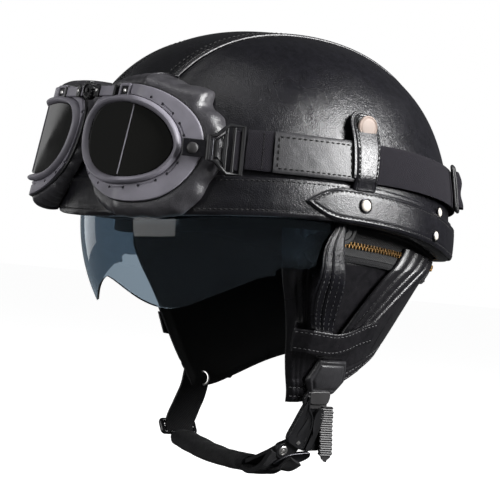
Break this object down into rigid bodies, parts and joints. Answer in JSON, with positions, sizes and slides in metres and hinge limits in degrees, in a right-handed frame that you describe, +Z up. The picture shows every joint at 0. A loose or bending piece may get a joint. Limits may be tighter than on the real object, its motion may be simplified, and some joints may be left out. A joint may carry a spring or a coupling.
{
  "type": "motorcycle helmet",
  "caption": "Leather-covered half helmet with split-lens goggles on a snap-held strap, swing-up smoke visor, zip-on ear flaps and buckled chin strap.",
  "frame": {"origin": "centre of the head opening, level with the shell's widest line", "axes": "+Z up to the crown, -Y towards the forehead and goggles, +X towards the wearer's left"},
  "size_m": [0.2518, 0.299, 0.3079],
  "materials": {
    "leather": "fine grain, soft sheen",
    "shell": "moulded",
    "foam": "foam",
    "lining": "knitted mesh",
    "smoke_visor": "smoke tint, coated",
    "steel": "polished",
    "bronze": "antique",
    "black_plastic": "satin",
    "black_metal": "satin",
    "grey_plastic": "moulded teeth",
    "webbing": "woven",
    "elastic": "woven elastic",
    "frame_plastic": "soft matt",
    "lens": "dark lens, polished"
  },
  "bodies": {
    "helmet": {"outer_shell": "shell", "leather_side_left": "leather", "leather_side_right": "leather", "leather_crown_strip": "leather", "brim_band": "leather", "rear_band": "leather", "eps_liner": "foam", "comfort_liner": "lining", "crown_pad": "lining", "visor_pivot_left": "steel", "visor_pivot_right": "steel", "ear_flap_left": "leather", "ear_flap_right": "leather", "neck_guard": "leather", "zipper_left": "bronze", "zipper_right": "bronze", "strap_leg_front_left": "leather", "strap_leg_front_right": "leather", "strap_leg_rear_left": "leather", "strap_leg_rear_right": "leather", "strap_keeper_left": "leather", "strap_keeper_right": "leather", "strap_plate_left": "leather", "strap_plate_right": "leather", "ratchet_tongue": "grey_plastic", "buckle_body": "black_plastic", "chin_webbing_left": "webbing", "chin_pad": "lining", "chin_webbing_right": "webbing", "chin_slider": "black_plastic", "band_snap_left": "steel", "band_snap_right": "steel", "goggle_elastic_front_left": "elastic", "goggle_elastic_front_right": "elastic", "goggle_patch_left": "leather", "goggle_patch_right": "leather", "goggle_elastic_rear": "elastic", "goggle_frame_left": "frame_plastic", "goggle_frame_right": "frame_plastic", "goggle_bezel_left": "frame_plastic", "goggle_bezel_right": "frame_plastic", "goggle_lens_nose_left": "lens", "goggle_lens_nose_right": "lens", "goggle_lens_outer_left": "lens", "goggle_lens_outer_right": "lens", "goggle_face_pad_left": "leather", "goggle_face_pad_right": "leather", "goggle_bridge": "black_plastic", "goggle_tab_left": "leather", "goggle_tab_right": "leather", "goggle_clip_left": "black_plastic", "goggle_clip_right": "black_plastic"},
    "visor": {"visor": "smoke_visor"},
    "strap_loop_left": {"strap_loop_left": "leather", "loop_snap_left": "bronze"},
    "strap_loop_right": {"strap_loop_right": "leather", "loop_snap_right": "bronze"},
    "bridge_knob": {"bridge_knob": "black_plastic"},
    "buckle_lever": {"buckle_lever": "black_metal"},
    "goggle_slider": {"goggle_slider": "black_plastic"}
  },
  "joints": [
    {"name": "visor_swing", "type": "hinge", "parent": "helmet", "child": "visor", "pos_m": [0, -0.005, 0.011], "axis": [1, 0, 0], "range_deg": [-42, 0]},
    {"name": "loop_left_open", "type": "hinge", "parent": "helmet", "child": "strap_loop_left", "pos_m": [0.1214, -0.0035, 0.039], "axis": [0, 1, 0], "range_deg": [0, 100]},
    {"name": "loop_right_open", "type": "hinge", "parent": "helmet", "child": "strap_loop_right", "pos_m": [-0.1214, -0.0035, 0.039], "axis": [0, -1, 0], "range_deg": [0, 100]},
    {"name": "bridge_knob_turn", "type": "hinge", "parent": "helmet", "child": "bridge_knob", "pos_m": [0, -0.1436, 0.0863], "axis": [0, -1, 0], "continuous": true},
    {"name": "buckle_lever_open", "type": "hinge", "parent": "helmet", "child": "buckle_lever", "pos_m": [0.058, 0.001, -0.1398], "axis": [0, 1, 0], "range_deg": [0, 55], "stiffness_Nm_per_rad": 0.02, "springref_deg": -11.46},
    {"name": "strap_slider_move", "type": "slide", "parent": "helmet", "child": "goggle_slider", "axis": [-0.6606, 0.7507, 0], "range_m": [-0.003, 0.003]}
  ]
}
